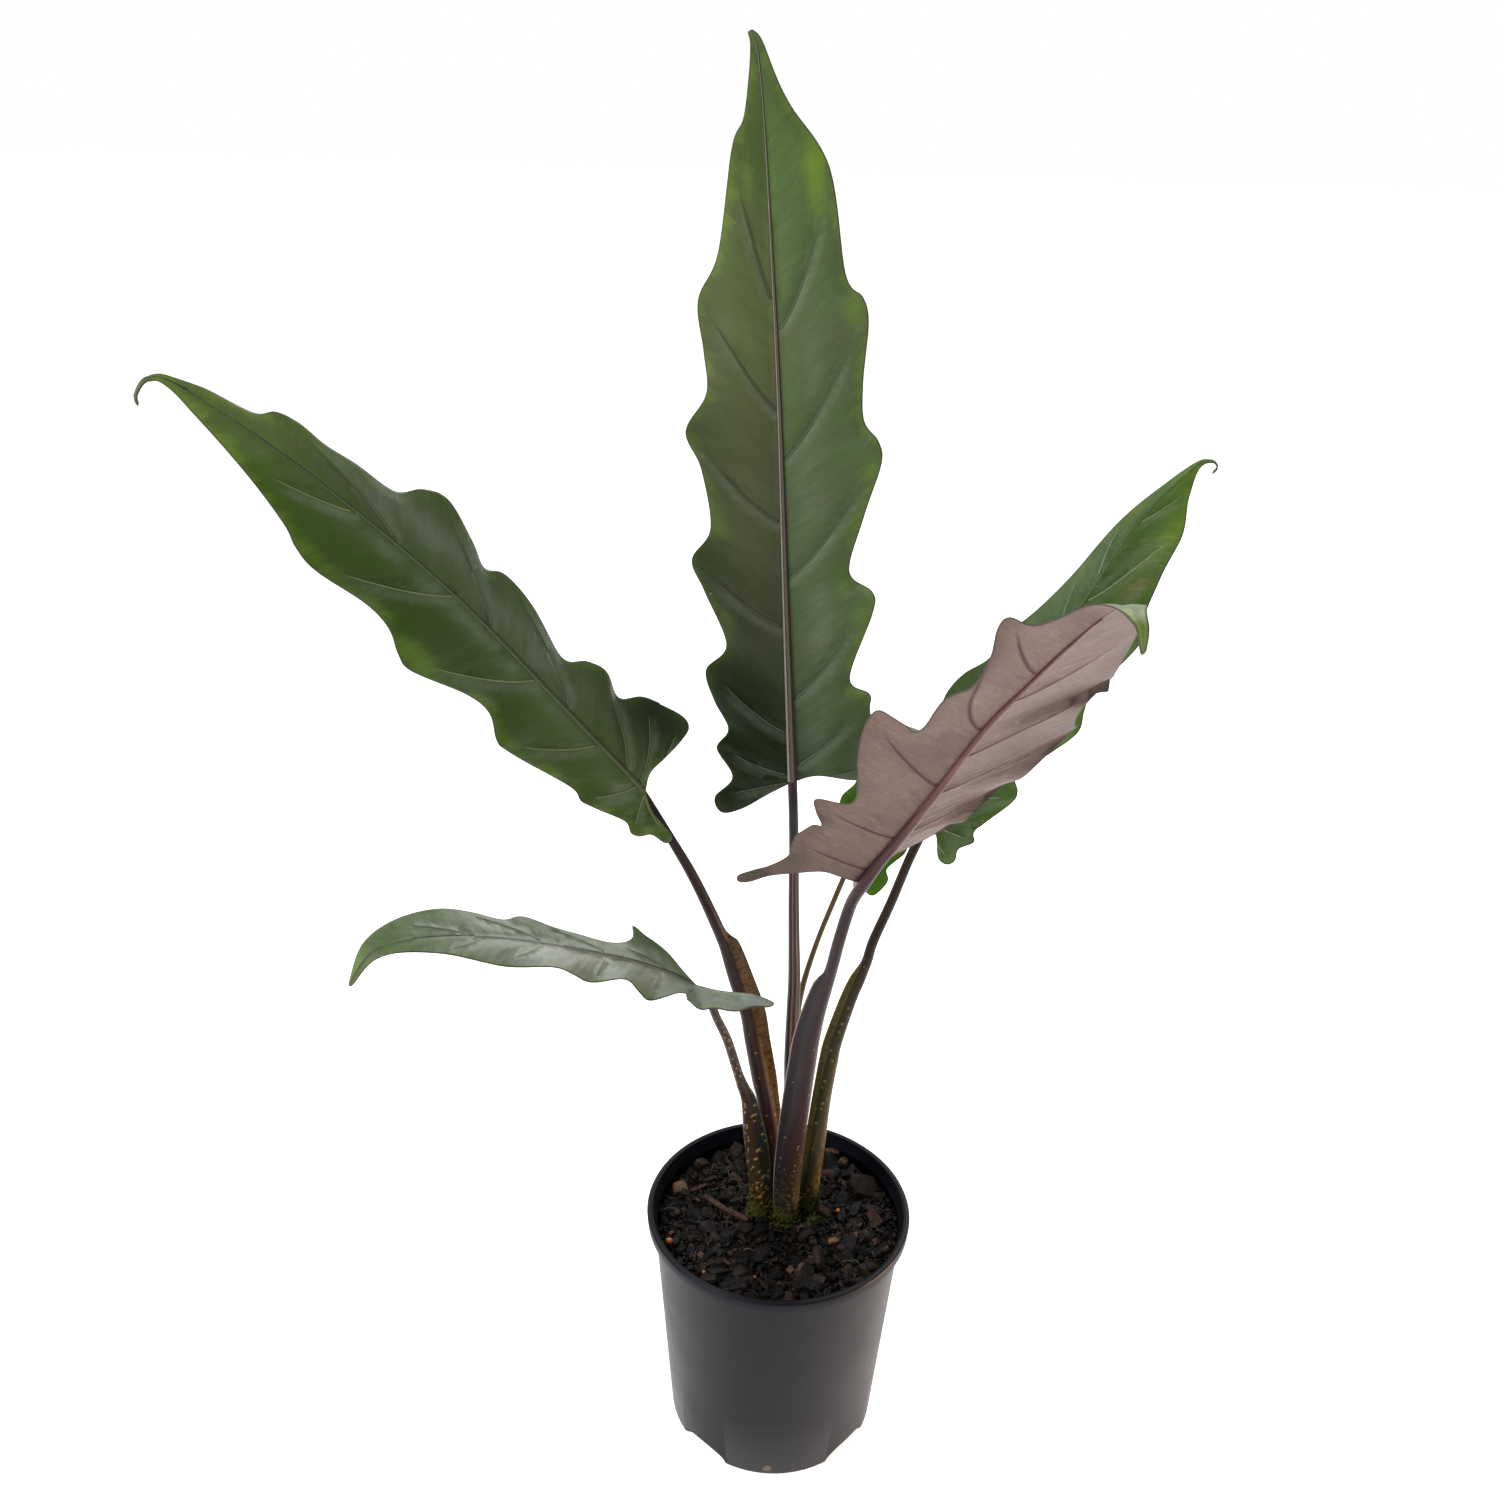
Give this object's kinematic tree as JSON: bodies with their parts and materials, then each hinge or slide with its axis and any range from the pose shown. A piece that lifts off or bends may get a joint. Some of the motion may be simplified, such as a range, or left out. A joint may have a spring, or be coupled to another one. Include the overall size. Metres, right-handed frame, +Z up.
{
  "type": "potted plant",
  "caption": "Potted alocasia lauterbachiana: tapered nursery pot of bark mix with long wavy arrow-shaped leaves on dark sheathed stalks.",
  "frame": {"origin": "centre of the pot's foot, on the surface that the pot stands on", "axes": "+Z up along the pot's axis, -Y towards the pictured front, +X to the viewer's right"},
  "size_m": [0.4633, 0.3586, 0.6981],
  "materials": {
    "pot": "satin charcoal moulded plastic",
    "soil": "damp near-black bark mix",
    "rhizome": "mossy yellow-green, rough",
    "stalk": "satin purple-brown",
    "blade": "satin dark green above, pinkish brown below"
  },
  "bodies": {
    "root": {"pot": "pot", "soil": "soil", "rhizome": "rhizome", "stalk_centre": "stalk", "stalk_left": "stalk", "stalk_low_left": "stalk", "stalk_front": "stalk", "stalk_right": "stalk", "stalk_young": "stalk", "blade_centre": "blade", "blade_left": "blade", "blade_low_left": "blade", "blade_front": "blade", "blade_right": "blade", "blade_young": "blade"}
  },
  "joints": []
}
